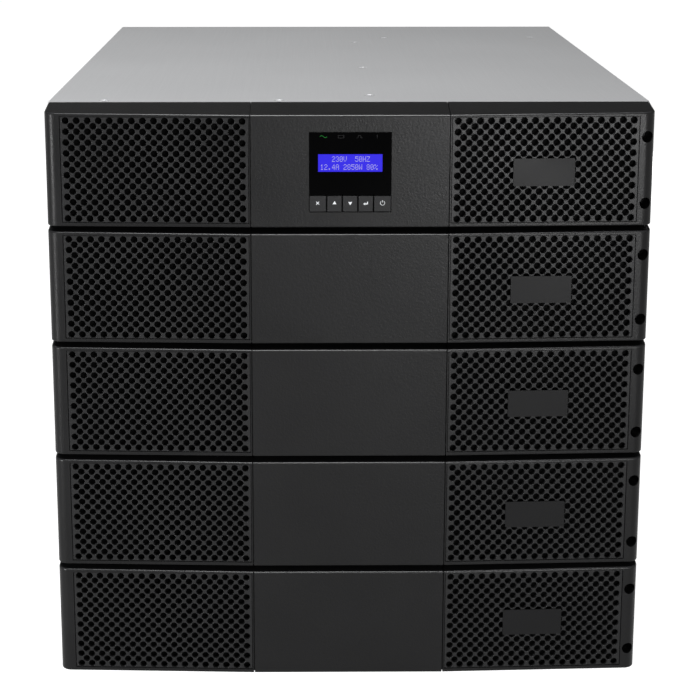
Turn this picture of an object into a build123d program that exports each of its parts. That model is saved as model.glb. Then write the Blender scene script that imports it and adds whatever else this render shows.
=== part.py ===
"""Stacked rack-mount uninterruptible power supply: one power module on top of four battery modules.

Millimetres. +X is to the right seen from the front, +Y runs from the front to the back and +Z is up.
The origin lies on the floor, midway across the width and midway between the front and the rear panel.
Every module is a folded steel case with a wrap-around cover and a three-piece plastic bezel. The two
outer bezel pieces are swept back a little and each frames a perforated insert.
"""

import os
from math import cos, radians, tan

from build123d import *

# Whole stack
stack_width = 438.0
stack_depth = 608.0
module_height = 86.5
battery_modules = 4

# Folded steel case
sheet = 1.2
rear_sheet = 1.5
base_lip_height = 3.0
ear_hole_radius = 2.25
ear_hole_depth = 12.0
ear_hole_setback = 22.0
ear_hole_stagger = 2.0
ear_hole_spacing_y = 40.0
ear_hole_spacing_z = 46.0
ear_hole_low = 20.0

# Countersunk dimples for the cover's screws, as X and the distance behind the front of the stack
dimple_top_radius = 4.0
dimple_base_radius = 2.7
dimple_places = (
    (16.2, 69.5),
    (16.0, 247.0),
    (15.5, 449.0),
    (44.6, 490.0),
    (186.7, 494.0),
    (-51.0, 41.4),
    (-178.8, 41.4),
)
flank_dimple_height = 12.0
flank_dimple_first = 90.0
flank_dimple_spacing = 150.0
flank_dimple_count = 4

# Bezel
bezel_depth = 33.0
bezel_front_height = 81.5
side_sweep_angle = 2.3
centre_half_width = 71.4
seam_gap = 0.8
seam_rib_setback = 4.0
seam_rib_drop = 1.0
bezel_wall = 2.4
bezel_top_wall = 1.3
bezel_floor = 1.6
bezel_seam_wall = 0.8
column_width = 11.3
column_corner_radius = 8.0
top_edge_radius = 1.5
bottom_edge_radius = 1.0

# Screw wells in the right-hand column
well_radius = 4.2
well_depth = 20.0
well_side_wall = 1.5
well_low = 16.3
well_spacing = 48.4

# Perforated inserts
field_bottom = 2.8
field_top_margin = 1.6
insert_clearance = 0.3
insert_recess = 0.6
insert_thickness = 3.2
insert_tongue = 0.5
hole_radius = 2.5
hole_pitch = 7.9
hole_columns = 17
hole_rows = 10

# Front of the case inside the bezel
nose_clearance = 0.3
nose_gap = 3.0
centre_nose_gap = 2.0

# Badge plate on the right-hand insert
badge_width = 44.4
badge_height = 20.0
badge_thickness = 1.0
badge_centre_x = 139.3
badge_centre_height = 39.7
badge_corner_radius = 0.8

# Display with its row of keys
display_centre_x = 0.1
display_width = 59.2
display_height = 58.3
display_bottom = 11.1
display_recess = 0.4
display_clearance = 0.3
housing_lap = 2.0
housing_depth = 11.6
lcd_width = 46.0
lcd_height = 12.6
lcd_bottom = 40.6
lcd_recess = 0.5
lcd_clearance = 0.1
key_row_height = 12.8
end_key_width = 12.0
key_gap = 0.9
key_thickness = 5.0
key_travel = 1.0
key_floor_clearance = 0.4
key_edge_clearance = 0.3
key_corner_radius = 0.4
stem_width = 5.0
stem_length = 5.6
stem_clearance = 0.2

# Fans behind the rear panel of the power module
fan_frame_size = 60.0
fan_frame_depth = 25.0
fan_frame_clearance = 0.3
fan_duct_radius = 28.5
fan_hub_radius = 13.0
fan_blade_count = 7
fan_blade_gap = 1.0
fan_blade_width = 13.0
fan_blade_thickness = 1.6
fan_blade_pitch = 38.0
fan_motor_depth = 6.0
fan_running_gap = 0.3
fan_strut_width = 3.0
fan_strut_count = 3
fan_edge_distance = 40.0
fan_spacing = 66.0
guard_wire = 1.8
guard_ring_count = 4
guard_ring_pitch = 6.5
guard_spokes = 4
guard_hub_radius = 3.6

# Mains outlets and inlet
outlet_flange_width = 27.0
outlet_flange_height = 21.5
outlet_flange_thickness = 1.2
outlet_well_width = 24.6
outlet_well_height = 16.6
outlet_well_gap = 2.3
outlet_well_depth = 13.0
outlet_body_depth = 16.0
outlet_wall = 1.0
outlet_body_clearance = 0.5
outlet_slot_width = 2.0
outlet_slot_height = 4.5
outlet_slot_spacing = 6.5
outlet_pitch_x = 31.0
outlet_pitch_z = 27.0
outlet_columns = 3
outlet_rows = 2
outlet_first_x = 34.0
outlet_low = 29.5
large_socket_width = 36.0
large_socket_height = 26.0
large_well_width = 30.0
large_well_height = 20.0
large_outlet_x = -66.0
inlet_x = -106.0
inlet_pin_length = 8.0
inlet_pin_width = 7.0
inlet_pin_thickness = 2.0
inlet_pin_spacing = 9.0
large_socket_height_centre = 29.0

# Battery sockets
battery_socket_width = 42.0
battery_socket_height = 22.0
battery_socket_lip = 3.0
battery_well_width = 34.0
battery_well_height = 14.0
battery_well_depth = 15.0
battery_socket_depth = 19.0
battery_contact_width = 9.0
battery_contact_height = 5.0
battery_contact_length = 8.0
battery_contact_spacing = 17.0
power_battery_socket_x = -178.0
power_battery_socket_centre = 24.0
battery_socket_x = 150.0
battery_socket_spacing = 62.0
battery_socket_centre = 44.0

# Card slot cover, data ports and vents
slot_cover_width = 96.0
slot_cover_height = 30.0
slot_cover_thickness = 1.5
slot_cover_x = -100.0
slot_cover_centre = 66.0
port_shell_width = 19.0
port_shell_height = 11.0
port_shell_wall = 1.2
port_flange = 6.0
port_shell_depth = 6.0
port_x = -178.0
port_centre = 66.0
vent_width = 3.0
vent_height = 52.0
vent_depth = 6.0
vent_pitch = 8.0
vent_count = 18
vent_x = -60.0

cut_margin = 5.0
edge_tolerance = 0.01

half_width = stack_width / 2
front_y = -stack_depth / 2
rear_y = stack_depth / 2 - port_shell_depth
case_front_y = front_y + bezel_depth
case_half_width = half_width - sheet
case_height = module_height - sheet
seam_x = centre_half_width
sweep_tan = tan(radians(side_sweep_angle))
top_slope = (module_height - bezel_front_height) / bezel_depth
column_inner_x = half_width - column_width
field_inner_x = seam_x + seam_gap / 2 + bezel_seam_wall
field_width = (column_inner_x - field_inner_x) / cos(radians(side_sweep_angle))
field_centre_x = (column_inner_x + field_inner_x) / 2
field_height = bezel_front_height - field_bottom - field_top_margin
housing_front_y = front_y + bezel_wall


def box(x_low, x_high, y_low, y_high, z_low, z_high):
    """A block between two corners."""
    centre = Pos((x_low + x_high) / 2, (y_low + y_high) / 2, (z_low + z_high) / 2)
    return centre * Box(x_high - x_low, y_high - y_low, z_high - z_low)


def prism(points, direction, length):
    """A flat outline of 3-D points, extruded."""
    return extrude(make_face(Polyline(*points, close=True)), amount=length, dir=direction)


def swept_y(x, depth=0.0):
    """Front plane of an outer bezel piece at a distance x from the middle, moved back by a depth."""
    return front_y + max(0.0, abs(x) - seam_x) * sweep_tan + depth / cos(radians(side_sweep_angle))


def top_height(y):
    """Height of the bezel's sloping top at a depth y."""
    return bezel_front_height + (y - front_y) * top_slope


def above_slope(drop, x_low, x_high):
    """Everything above the bezel's sloping top, lowered by drop."""
    y_low = front_y - cut_margin
    points = [
        (x_low, y_low, top_height(y_low) - drop),
        (x_low, case_front_y, module_height - drop),
        (x_low, case_front_y + cut_margin, module_height - drop),
        (x_low, case_front_y + cut_margin, module_height + cut_margin),
        (x_low, y_low, module_height + cut_margin),
    ]
    return prism(points, (1, 0, 0), x_high - x_low)


def outline_edges(shape, height):
    """Edges whose middle lies at a height, in front of the case and away from the seams."""
    return [
        edge
        for edge in shape.edges()
        if abs((edge @ 0.5).Z - height((edge @ 0.5).Y)) < edge_tolerance
        and (edge @ 0.5).Y < case_front_y - edge_tolerance
        and abs(abs((edge @ 0.5).X) - seam_x) > seam_gap
    ]


def bezel_centre():
    """Plain middle piece: an open box with a sloping top and a rib that closes each seam behind its mouth."""
    half = seam_x - seam_gap / 2
    reach = half + seam_gap
    ribs = box(-reach, reach, front_y + seam_rib_setback, case_front_y, 0, module_height)
    ribs -= above_slope(seam_rib_drop, -reach - cut_margin, reach + cut_margin)
    shell = box(-half, half, front_y, case_front_y, 0, module_height)
    shell -= above_slope(0, -half - cut_margin, half + cut_margin)
    shell = fillet(outline_edges(shell, top_height), top_edge_radius)
    shell = fillet(outline_edges(shell, lambda y: 0.0), bottom_edge_radius)
    return shell + ribs - centre_hollow(0, bezel_wall, case_front_y + cut_margin)


def centre_hollow(shrink, depth, y_end):
    """Inside of the middle piece from a depth behind its front, made smaller all round."""
    half = seam_x - seam_gap / 2 - bezel_wall - shrink
    hollow = box(-half, half, front_y + depth, y_end, bezel_floor + shrink, module_height)
    return hollow - above_slope(bezel_top_wall + shrink, -seam_x, seam_x)


def end_hollow(shrink, depth, y_end):
    """Inside of the right-hand piece from a depth behind its front, made smaller all round."""
    low_x = field_inner_x + shrink
    high_x = column_inner_x - shrink
    plan = [
        (low_x, y_end, bezel_floor + shrink),
        (low_x, swept_y(low_x, depth), bezel_floor + shrink),
        (high_x, swept_y(high_x, depth), bezel_floor + shrink),
        (high_x, y_end, bezel_floor + shrink),
    ]
    hollow = prism(plan, (0, 0, 1), module_height)
    return hollow - above_slope(bezel_top_wall + shrink, 0, half_width + cut_margin)


def bezel_right():
    """Right-hand piece before its screw wells: a column and a thin frame round the insert."""
    inner_x = seam_x + seam_gap / 2
    plan = [
        (inner_x, case_front_y, 0),
        (inner_x, swept_y(inner_x), 0),
        (half_width, swept_y(half_width), 0),
        (half_width, case_front_y, 0),
    ]
    shell = prism(plan, (0, 0, 1), module_height)
    corner = shell.edges().filter_by(Axis.Z).sort_by(Axis.X)[-2:].sort_by(Axis.Y)[0]
    shell = fillet(corner, column_corner_radius)
    shell -= above_slope(0, 0, half_width + cut_margin)
    shell = fillet(outline_edges(shell, top_height), top_edge_radius)
    shell = fillet(outline_edges(shell, lambda y: 0.0), bottom_edge_radius)
    window = box(
        field_inner_x,
        column_inner_x,
        front_y - cut_margin,
        swept_y(half_width, bezel_wall) + cut_margin,
        field_bottom,
        field_bottom + field_height,
    )
    return shell - end_hollow(0, bezel_wall, case_front_y + cut_margin) - window


def bezel_wells():
    """The two round screw wells of a right-hand column."""
    x = half_width - well_side_wall - well_radius
    y_end = swept_y(x) + well_depth
    wells = []
    for height in (well_low, well_low + well_spacing):
        length = y_end - (front_y - cut_margin)
        wells.append(Pos(x, y_end - length / 2, height) * Rot(X=90) * Cylinder(well_radius, length))
    return wells


def perforated_insert():
    """One insert, flat in the XZ plane with its front at y = 0 and its middle at the origin."""
    width = field_width - 2 * insert_clearance
    height = field_height - 2 * insert_clearance
    outer = Wire.make_polygon(
        [
            (-width / 2, 0, -height / 2 - insert_tongue - insert_clearance),
            (width / 2, 0, -height / 2 - insert_tongue - insert_clearance),
            (width / 2, 0, height / 2 + insert_tongue + insert_clearance),
            (-width / 2, 0, height / 2 + insert_tongue + insert_clearance),
        ]
    )
    holes = []
    for row in range(2 * hole_rows - 1):
        columns = hole_columns - row % 2
        z = (row - (hole_rows - 1)) * hole_pitch / 2
        for column in range(columns):
            x = (column - (columns - 1) / 2) * hole_pitch
            plane = Plane(origin=(x, 0, z), z_dir=(0, 1, 0))
            holes.append(Wire.make_circle(hole_radius, plane))
    plate = extrude(Face(outer, holes), amount=insert_thickness, dir=(0, 1, 0))
    lap = bezel_wall - insert_recess
    for side in (-1, 1):
        low, high = sorted((side * height / 2, side * (height / 2 + cut_margin)))
        plate -= box(-width, width, -cut_margin, lap, low, high)
    return plate


def place_insert(insert, side):
    """An insert in its frame on the left (-1) or right (1) of a module."""
    y = swept_y(field_centre_x, insert_recess)
    place = Pos(side * field_centre_x, y, field_bottom + field_height / 2)
    return place * Rot(Z=side * side_sweep_angle) * insert


def badge_plate():
    """The small plate that sits on the right-hand insert."""
    plate = Box(badge_width, badge_thickness, badge_height)
    plate = fillet(plate.edges().filter_by(Axis.Y), badge_corner_radius)
    y = swept_y(badge_centre_x, insert_recess - badge_thickness / 2)
    return Pos(badge_centre_x, y, badge_centre_height) * Rot(Z=side_sweep_angle) * plate


def ear_holes():
    """Blind screw holes for a rack bracket on both flanks, those on the right a little further back."""
    holes = []
    for side, stagger in ((-1, 0.0), (1, ear_hole_stagger)):
        for row in (0, 1):
            for column in (0, 1):
                y = case_front_y + ear_hole_setback + stagger + column * ear_hole_spacing_y
                z = ear_hole_low + row * ear_hole_spacing_z
                x = side * (half_width - ear_hole_depth / 2 + cut_margin / 2)
                hole = Cylinder(ear_hole_radius, ear_hole_depth + cut_margin)
                holes.append(Pos(x, y, z) * Rot(Y=90) * hole)
    return holes


def case_block(y_end, centre_depth):
    """Closed case below the wrap-around cover, with foot lips and three noses inside the bezel."""
    block = box(-case_half_width, case_half_width, case_front_y, y_end, 0, case_height)
    block += box(-half_width, half_width, case_front_y, y_end, 0, base_lip_height)
    nose = end_hollow(nose_clearance, insert_recess + insert_thickness + nose_gap, case_front_y)
    block += [nose, mirror(nose, about=Plane.YZ)]
    block += centre_hollow(nose_clearance, centre_depth, case_front_y)
    return block - ear_holes()


def wrap_cover():
    """Sheet cover over the top and both flanks of a case."""
    cover = box(-half_width, half_width, case_front_y, rear_y, base_lip_height, module_height)
    inner = case_half_width
    cover -= box(-inner, inner, case_front_y - cut_margin, rear_y + cut_margin, 0, case_height)
    cover -= ear_holes()
    dimple = screw_dimple()
    for side in (-1, 1):
        for index in range(flank_dimple_count):
            y = case_front_y + flank_dimple_first + index * flank_dimple_spacing
            cover -= Pos(side * half_width, y, flank_dimple_height) * Rot(Y=side * 90) * dimple
    return cover


def screw_dimple():
    """Countersink through the cover's sheet, with its mouth at z = 0."""
    return Pos(0, 0, -sheet / 2) * Cone(dimple_base_radius, dimple_top_radius, sheet)


def power_cover():
    """Cover of the top module, with the screw dimples in its roof."""
    cover = wrap_cover()
    for x, depth in dimple_places:
        cover -= Pos(x, front_y + depth, module_height) * screw_dimple()
    return cover


def battery_well(x, z):
    """Pocket behind a battery socket."""
    w = battery_socket_width / 2 - battery_socket_lip
    h = battery_socket_height / 2 - battery_socket_lip
    return box(x - w, x + w, rear_y - battery_socket_depth, rear_y + cut_margin, z - h, z + h)


def battery_socket(x, z):
    """Rectangular battery socket: a lip outside, a well and two flat contacts."""
    w = battery_socket_width / 2
    h = battery_socket_height / 2
    face_y = rear_y + battery_socket_lip
    socket = box(x - w, x + w, rear_y, face_y, z - h, z + h)
    socket += battery_well(x, z) & box(x - w, x + w, rear_y - battery_socket_depth, rear_y, z - h, z + h)
    w = battery_well_width / 2
    h = battery_well_height / 2
    floor_y = face_y - battery_well_depth
    socket -= box(x - w, x + w, floor_y, face_y + cut_margin, z - h, z + h)
    for side in (-1, 1):
        middle = x + side * battery_contact_spacing / 2
        w = battery_contact_width / 2
        h = battery_contact_height / 2
        socket += box(middle - w, middle + w, floor_y, floor_y + battery_contact_length, z - h, z + h)
    return socket


def battery_case():
    """Battery module case: solid to the rear, with shallow vents and two socket pockets."""
    case = case_block(rear_y, bezel_wall + centre_nose_gap)
    vents = []
    for index in range(vent_count):
        x = vent_x + (index - (vent_count - 1) / 2) * vent_pitch
        z = case_height / 2
        vents.append(
            box(
                x - vent_width / 2,
                x + vent_width / 2,
                rear_y - vent_depth,
                rear_y + cut_margin,
                z - vent_height / 2,
                z + vent_height / 2,
            )
        )
    case -= vents
    for x in battery_socket_places():
        case -= battery_well(x, battery_socket_centre)
    return case


def battery_socket_places():
    """Middles of the two sockets of a battery module."""
    return [battery_socket_x, battery_socket_x - battery_socket_spacing]


def fan_places():
    """Middles of the fans in X."""
    first = half_width - fan_edge_distance
    return [first, first - fan_spacing]


def fan_place(x):
    """Fan position on the inner face of the rear panel, with local +Z pointing to the rear."""
    return Pos(x, rear_y - rear_sheet, case_height / 2) * Rot(X=-90)


def fan_frame():
    """Square fan frame with its duct, motor mount and struts, below z = 0."""
    frame = Pos(0, 0, -fan_frame_depth / 2) * Box(fan_frame_size, fan_frame_size, fan_frame_depth)
    frame -= Pos(0, 0, -fan_frame_depth / 2) * Cylinder(fan_duct_radius, fan_frame_depth + cut_margin)
    level = -fan_frame_depth + fan_motor_depth / 2
    frame += Pos(0, 0, level) * Cylinder(fan_hub_radius, fan_motor_depth)
    reach = (fan_duct_radius + fan_frame_size / 2) / 2
    for index in range(fan_strut_count):
        strut = Pos(reach / 2, 0, level) * Box(reach, fan_strut_width, fan_motor_depth)
        frame += Rot(Z=90 + index * 360 / fan_strut_count) * strut
    return frame


def fan_rotor():
    """Hub with pitched blades, just clear of the motor mount and the duct."""
    low = -fan_frame_depth + fan_motor_depth + fan_running_gap
    high = -fan_running_gap
    length = high - low
    rotor = Pos(0, 0, (low + high) / 2) * Cylinder(fan_hub_radius, length)
    tip = fan_duct_radius - fan_blade_gap
    limit = Pos(0, 0, (low + high) / 2) * Cylinder(tip, length)
    for index in range(fan_blade_count):
        blade = Pos(tip / 2 + fan_hub_radius / 2, 0, (low + high) / 2) * Rot(X=fan_blade_pitch) * Box(
            tip, fan_blade_width, fan_blade_thickness
        )
        rotor += Rot(Z=index * 360 / fan_blade_count) * (blade & limit)
    return rotor


def fan_guard():
    """Finger guard outside the rear panel: square-section rings joined by spokes and a centre disc."""
    level = rear_sheet + guard_wire / 2
    guard = Pos(0, 0, level) * Cylinder(guard_hub_radius, guard_wire)
    for index in range(guard_ring_count):
        radius = fan_duct_radius + guard_wire - index * guard_ring_pitch
        ring = Cylinder(radius + guard_wire / 2, guard_wire) - Cylinder(radius - guard_wire / 2, guard_wire)
        guard += Pos(0, 0, level) * ring
    reach = fan_duct_radius + guard_wire
    for index in range(guard_spokes):
        spoke = Pos(reach / 2, 0, level) * Box(reach, guard_wire, guard_wire)
        guard += Rot(Z=45 + index * 360 / guard_spokes) * spoke
    return guard


def outlet_places():
    """Middles of the small outlets on the rear panel."""
    return [
        (outlet_first_x - column * outlet_pitch_x, outlet_low + row * outlet_pitch_z)
        for row in range(outlet_rows)
        for column in range(outlet_columns)
    ]


def socket_body(x, z, well_width, well_height, wall, depth):
    """The part of a mains socket that passes through the rear panel."""
    w = well_width / 2 + wall
    h = well_height / 2 + wall
    return box(x - w, x + w, rear_y - depth, rear_y, z - h, z + h)


def mains_outlet(x, z, flange_width, flange_height, well_width, well_height):
    """Recessed mains outlet with its contact block and three slots."""
    w = flange_width / 2
    h = flange_height / 2
    face_y = rear_y + outlet_flange_thickness
    outlet = box(x - w, x + w, rear_y, face_y, z - h, z + h)
    outlet += socket_body(x, z, well_width, well_height, outlet_wall, outlet_body_depth)
    floor_y = face_y - outlet_well_depth
    w = well_width / 2
    h = well_height / 2
    well = box(x - w, x + w, floor_y, face_y + cut_margin, z - h, z + h)
    w -= outlet_well_gap
    h -= outlet_well_gap
    well -= box(x - w, x + w, floor_y - cut_margin, face_y, z - h, z + h)
    outlet -= well
    for offset_x, offset_z in ((-1, -0.5), (1, -0.5), (0, 0.5)):
        slot_x = x + offset_x * outlet_slot_spacing
        slot_z = z + offset_z * outlet_slot_spacing
        outlet -= box(
            slot_x - outlet_slot_width / 2,
            slot_x + outlet_slot_width / 2,
            floor_y,
            face_y + cut_margin,
            slot_z - outlet_slot_height / 2,
            slot_z + outlet_slot_height / 2,
        )
    return outlet


def mains_inlet():
    """Mains inlet: an open well with three flat pins."""
    x = inlet_x
    z = large_socket_height_centre
    w = large_socket_width / 2
    h = large_socket_height / 2
    face_y = rear_y + outlet_flange_thickness
    inlet = box(x - w, x + w, rear_y, face_y, z - h, z + h)
    inlet += socket_body(x, z, large_well_width, large_well_height, outlet_wall, outlet_body_depth)
    w = large_well_width / 2
    h = large_well_height / 2
    floor_y = face_y - outlet_well_depth
    inlet -= box(x - w, x + w, floor_y, face_y + cut_margin, z - h, z + h)
    for side, lift in ((-1, 0), (0, 1), (1, 0)):
        pin_x = x + side * inlet_pin_spacing
        pin_z = z + (lift - 0.5) * inlet_pin_spacing / 2
        pin = Pos(pin_x, floor_y + inlet_pin_length / 2, pin_z)
        inlet += pin * Box(inlet_pin_width, inlet_pin_length, inlet_pin_thickness)
    return inlet


def data_port():
    """Serial port: a metal shell standing out round a plastic insert."""
    x = port_x
    z = port_centre
    w = port_shell_width / 2
    h = port_shell_height / 2
    port = box(x - w - port_flange, x + w + port_flange, rear_y, rear_y + port_shell_wall, z - h, z + h)
    port += box(x - w, x + w, rear_y, rear_y + port_shell_depth, z - h, z + h)
    w -= port_shell_wall
    h -= port_shell_wall
    port -= box(x - w, x + w, rear_y + port_shell_wall, rear_y + port_shell_depth + cut_margin, z - h, z + h)
    return port


def slot_cover():
    """Blank plate over the card slot."""
    x = slot_cover_x
    z = slot_cover_centre
    w = slot_cover_width / 2
    h = slot_cover_height / 2
    return box(x - w, x + w, rear_y, rear_y + slot_cover_thickness, z - h, z + h)


def rear_bodies(clearance):
    """Blocks as large as what passes through the rear panel, grown by a clearance."""
    bodies = []
    wall = outlet_wall + clearance
    for x, z in outlet_places():
        bodies.append(socket_body(x, z, outlet_well_width, outlet_well_height, wall, outlet_body_depth))
    for x in (large_outlet_x, inlet_x):
        z = large_socket_height_centre
        bodies.append(socket_body(x, z, large_well_width, large_well_height, wall, outlet_body_depth))
    bodies.append(battery_well(power_battery_socket_x, power_battery_socket_centre))
    return bodies


def rear_panel():
    """Rear sheet of the power module with its fan and socket openings."""
    panel = box(-case_half_width, case_half_width, rear_y - rear_sheet, rear_y, 0, case_height)
    panel -= rear_bodies(0)
    for x in fan_places():
        panel -= fan_place(x) * Cylinder(fan_duct_radius, cut_margin)
    return panel


def power_case():
    """Power module case with pockets for what is carried by the rear panel."""
    case = case_block(rear_y - rear_sheet, housing_depth + centre_nose_gap)
    case += box(-half_width, -case_half_width, rear_y - rear_sheet, rear_y, 0, base_lip_height)
    case += box(case_half_width, half_width, rear_y - rear_sheet, rear_y, 0, base_lip_height)
    case -= rear_bodies(outlet_body_clearance)
    size = fan_frame_size + 2 * fan_frame_clearance
    depth = fan_frame_depth + fan_frame_clearance
    for x in fan_places():
        case -= fan_place(x) * Pos(0, 0, -depth / 2) * Box(size, size, depth)
    return case


def display_bezel_centre():
    """Middle bezel piece of the power module with its display opening."""
    x_low = display_centre_x - display_width / 2
    opening = box(
        x_low,
        x_low + display_width,
        front_y - cut_margin,
        housing_front_y + cut_margin,
        display_bottom,
        display_bottom + display_height,
    )
    return bezel_centre() - opening


def key_columns():
    """Name, left edge and width of each key."""
    names = ("key_escape", "key_up", "key_down", "key_enter", "key_power")
    room = display_width - 2 * key_edge_clearance - 2 * end_key_width - (len(names) - 1) * key_gap
    middle_width = room / (len(names) - 2)
    left = display_centre_x - display_width / 2 + key_edge_clearance
    columns = []
    for name in names:
        width = end_key_width if name in (names[0], names[-1]) else middle_width
        columns.append((name, left, width))
        left += width + key_gap
    return columns


def key_row():
    """Lowest and highest level of the keys."""
    low = display_bottom + key_edge_clearance
    return low, display_bottom + key_row_height - key_gap


def key_shape(left, width):
    """One key with its square stem."""
    low, high = key_row()
    key_front_y = front_y + display_recess
    cap = box(left, left + width, key_front_y, key_front_y + key_thickness, low, high)
    front = cap.faces().sort_by(Axis.Y)[0]
    cap = fillet(front.edges(), key_corner_radius)
    middle_x = left + width / 2
    middle_z = (low + high) / 2
    stem_y = key_front_y + key_thickness + stem_length / 2
    return cap + Pos(middle_x, stem_y, middle_z) * Box(stem_width, stem_length, stem_width)


def display_housing():
    """Plastic housing behind the display opening, with the key pocket and stem guides."""
    x_low = display_centre_x - display_width / 2
    x_high = x_low + display_width
    z_low = display_bottom
    z_high = z_low + display_height
    housing = box(
        x_low - housing_lap,
        x_high + housing_lap,
        housing_front_y,
        front_y + housing_depth,
        z_low - housing_lap,
        z_high + housing_lap,
    )
    pocket_y = front_y + display_recess + key_thickness + key_travel + key_floor_clearance
    housing -= box(x_low, x_high, housing_front_y - cut_margin, pocket_y, z_low, z_low + key_row_height)
    low, high = key_row()
    size = stem_width + 2 * stem_clearance
    for name, left, width in key_columns():
        guide = Pos(left + width / 2, front_y + housing_depth, (low + high) / 2)
        housing -= guide * Box(size, 2 * housing_depth, size)
    return housing


def display_glass():
    """Black window over the display, with an opening for the readout."""
    x_low = display_centre_x - display_width / 2 + display_clearance
    x_high = x_low + display_width - 2 * display_clearance
    glass = box(
        x_low,
        x_high,
        front_y + display_recess,
        housing_front_y,
        display_bottom + key_row_height,
        display_bottom + display_height - display_clearance,
    )
    return glass - lcd_block(lcd_clearance, 0)


def lcd_block(clearance, recess):
    """Block of the readout, grown by a clearance and set back from the glass."""
    w = lcd_width / 2 + clearance
    low = lcd_bottom - clearance
    high = lcd_bottom + lcd_height + clearance
    x = display_centre_x
    return box(x - w, x + w, front_y + display_recess + recess, housing_front_y, low, high)


def write(name, pieces):
    """Write one node, as one solid or as several that don't touch."""
    if len(pieces) == 1:
        export_step(pieces[0], f"parts/{name}.step")
    else:
        solids = [solid for piece in pieces for solid in piece.solids()]
        export_step(Compound(children=solids), f"parts/{name}.step")


def lifted(level, pieces):
    """Pieces moved up to the level of their module."""
    return [Pos(0, 0, level) * piece for piece in pieces]


os.makedirs("parts", exist_ok=True)

end_plain = bezel_right()
left_end = mirror(end_plain, about=Plane.YZ)
right_end = end_plain - bezel_wells()
insert = perforated_insert()
inserts = [place_insert(insert, -1), place_insert(insert, 1)]
battery_parts = {
    "case": [battery_case()],
    "cover": [wrap_cover()],
    "bezel_ends": [left_end, right_end],
    "bezel_centre": [bezel_centre()],
    "grilles": inserts,
}
power_parts = dict(battery_parts)
power_parts["case"] = [power_case()]
power_parts["cover"] = [power_cover()]
power_parts["bezel_centre"] = [display_bezel_centre()]

power_level = battery_modules * module_height
levels = {"power": power_level}
for number in range(1, battery_modules + 1):
    levels[f"battery_{number}"] = power_level - number * module_height

for module, level in levels.items():
    pieces = power_parts if module == "power" else battery_parts
    for name, solids in pieces.items():
        write(f"{module}_{name}", lifted(level, solids))

badge = badge_plate()
write("badges", [Pos(0, 0, level) * badge for level in levels.values()])

write("power_rear_panel", lifted(power_level, [rear_panel()]))
write("display_housing", lifted(power_level, [display_housing()]))
write("display_glass", lifted(power_level, [display_glass()]))
write("display_lcd", lifted(power_level, [lcd_block(0, lcd_recess)]))
for name, left, width in key_columns():
    write(name, lifted(power_level, [key_shape(left, width)]))

for name, shape in (("fan_frames", fan_frame()), ("fan_rotors", fan_rotor()), ("fan_guards", fan_guard())):
    write(name, lifted(power_level, [fan_place(x) * shape for x in fan_places()]))

outlets = [
    mains_outlet(x, z, outlet_flange_width, outlet_flange_height, outlet_well_width, outlet_well_height)
    for x, z in outlet_places()
]
outlets.append(
    mains_outlet(
        large_outlet_x,
        large_socket_height_centre,
        large_socket_width,
        large_socket_height,
        large_well_width,
        large_well_height,
    )
)
write("outlets", lifted(power_level, outlets))
write("inlet", lifted(power_level, [mains_inlet()]))
write("slot_cover", lifted(power_level, [slot_cover()]))
write("data_port", lifted(power_level, [data_port()]))

sockets = lifted(power_level, [battery_socket(power_battery_socket_x, power_battery_socket_centre)])
for module, level in levels.items():
    if module != "power":
        sockets += lifted(level, [battery_socket(x, battery_socket_centre) for x in battery_socket_places()])
write("battery_sockets", sockets)
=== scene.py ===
"""Looks of a stacked rack-mount power supply: finishes, readout, key symbols, screws and a studio.

Metres. +X is to the right seen from the front, +Y runs from the front to the back and +Z is up.
"""

from math import pi, radians, sin

import bmesh
import bpy
from bpy.props import FloatProperty, FloatVectorProperty, IntProperty, PointerProperty, StringProperty
from mathutils import Matrix, Vector


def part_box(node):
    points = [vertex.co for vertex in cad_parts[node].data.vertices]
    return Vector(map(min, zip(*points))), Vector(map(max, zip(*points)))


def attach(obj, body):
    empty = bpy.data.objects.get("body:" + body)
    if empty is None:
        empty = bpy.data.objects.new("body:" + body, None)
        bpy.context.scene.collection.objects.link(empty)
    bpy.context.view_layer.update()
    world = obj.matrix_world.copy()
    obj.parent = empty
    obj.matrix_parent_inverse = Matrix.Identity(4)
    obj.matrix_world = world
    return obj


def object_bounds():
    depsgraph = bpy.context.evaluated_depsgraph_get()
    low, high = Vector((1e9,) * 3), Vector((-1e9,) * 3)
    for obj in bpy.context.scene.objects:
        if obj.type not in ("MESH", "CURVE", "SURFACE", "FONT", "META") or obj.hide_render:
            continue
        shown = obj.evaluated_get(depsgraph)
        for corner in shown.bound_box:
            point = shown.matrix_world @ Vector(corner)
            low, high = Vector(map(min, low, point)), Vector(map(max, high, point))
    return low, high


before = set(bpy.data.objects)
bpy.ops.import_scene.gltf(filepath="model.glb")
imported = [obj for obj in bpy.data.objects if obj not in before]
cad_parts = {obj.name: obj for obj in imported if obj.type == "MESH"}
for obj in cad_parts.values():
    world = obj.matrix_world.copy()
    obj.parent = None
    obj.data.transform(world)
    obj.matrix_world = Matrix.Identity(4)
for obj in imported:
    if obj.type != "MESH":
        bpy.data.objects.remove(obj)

cad_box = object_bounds()

bl_info = {
    "name": "Rack power supply looks",
    "version": (1, 0, 0),
    "blender": (4, 5, 0),
    "location": "View3D > Sidebar > Power supply",
    "description": "Finishes, small fittings and studio for a stacked rack-mount power supply",
    "category": "Object",
}

MODULES = ("power", "battery_1", "battery_2", "battery_3", "battery_4")
KEYS = ("key_escape", "key_up", "key_down", "key_enter", "key_power")
COVER_LOW, COVER_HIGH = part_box("power_cover")
GLASS_LOW, GLASS_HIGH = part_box("display_glass")
LCD_LOW, LCD_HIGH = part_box("display_lcd")
PANEL_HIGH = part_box("power_rear_panel")[1]
PHOTO_WIDTH = 700
SHEET = 0.0012
FLOOR_REACH = 30
FLOOR_TONE = 0.5
FLOOR_IN_REFLECTIONS = 0.5
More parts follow.
